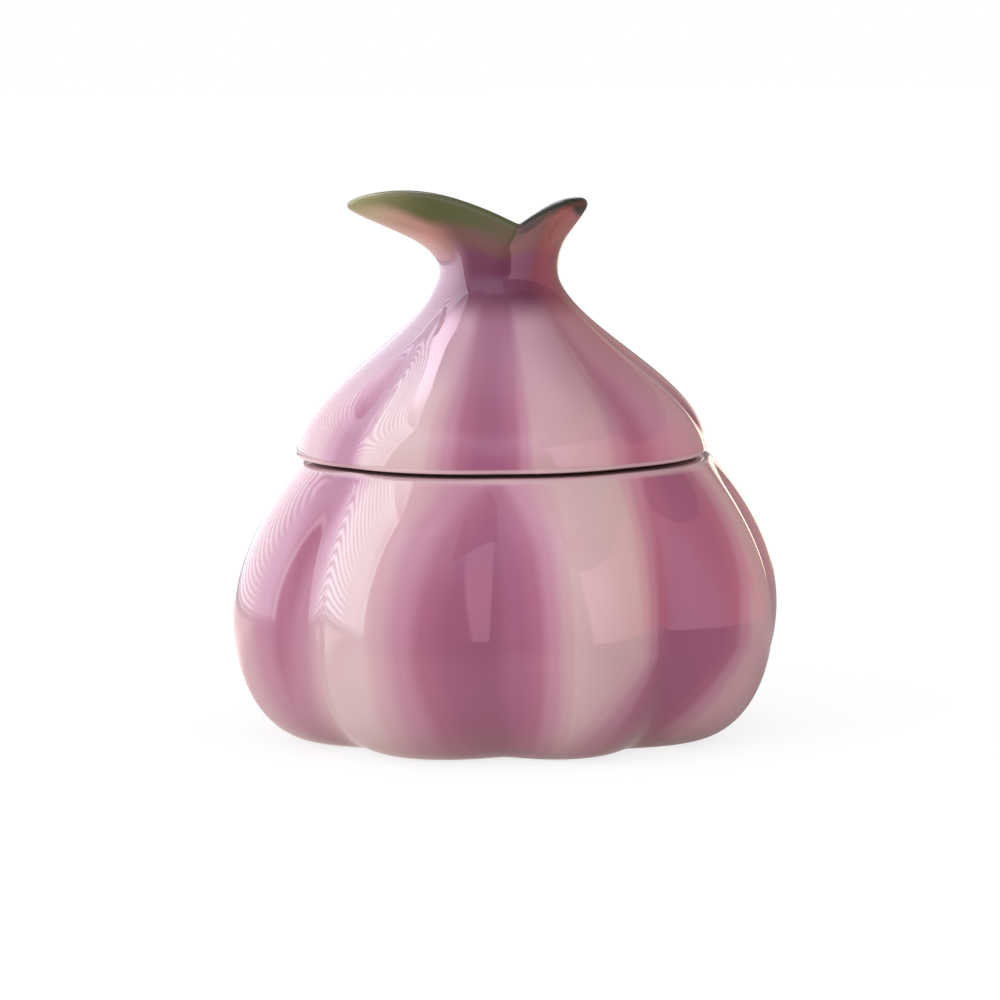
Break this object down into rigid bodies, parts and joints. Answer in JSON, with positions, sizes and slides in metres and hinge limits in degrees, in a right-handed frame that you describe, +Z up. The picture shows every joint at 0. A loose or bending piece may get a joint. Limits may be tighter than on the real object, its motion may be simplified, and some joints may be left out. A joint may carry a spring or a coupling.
{
  "type": "ceramic storage jar",
  "caption": "Glazed ceramic storage jar shaped like a garlic bulb, with a lift-off lid whose stem opens into two leaves.",
  "frame": {"origin": "centre of the foot, on the surface that the jar stands on", "axes": "+Z up through the stem, -Y towards the front, with the long leaf towards -X"},
  "size_m": [0.1363, 0.1367, 0.1351],
  "materials": {
    "body_glaze": "glossy clear glaze over mauve bands sprayed along the creases and cream-pink crests",
    "lid_glaze": "glossy clear glaze over mauve bands, running to green along the rims of the leaves"
  },
  "bodies": {
    "jar_body": {"jar_body": "body_glaze"},
    "lid": {"lid": "lid_glaze"}
  },
  "joints": [
    {"name": "lid_lift", "type": "slide", "parent": "jar_body", "child": "lid", "axis": [0, 0, 1], "range_m": [0, 0.08]}
  ]
}
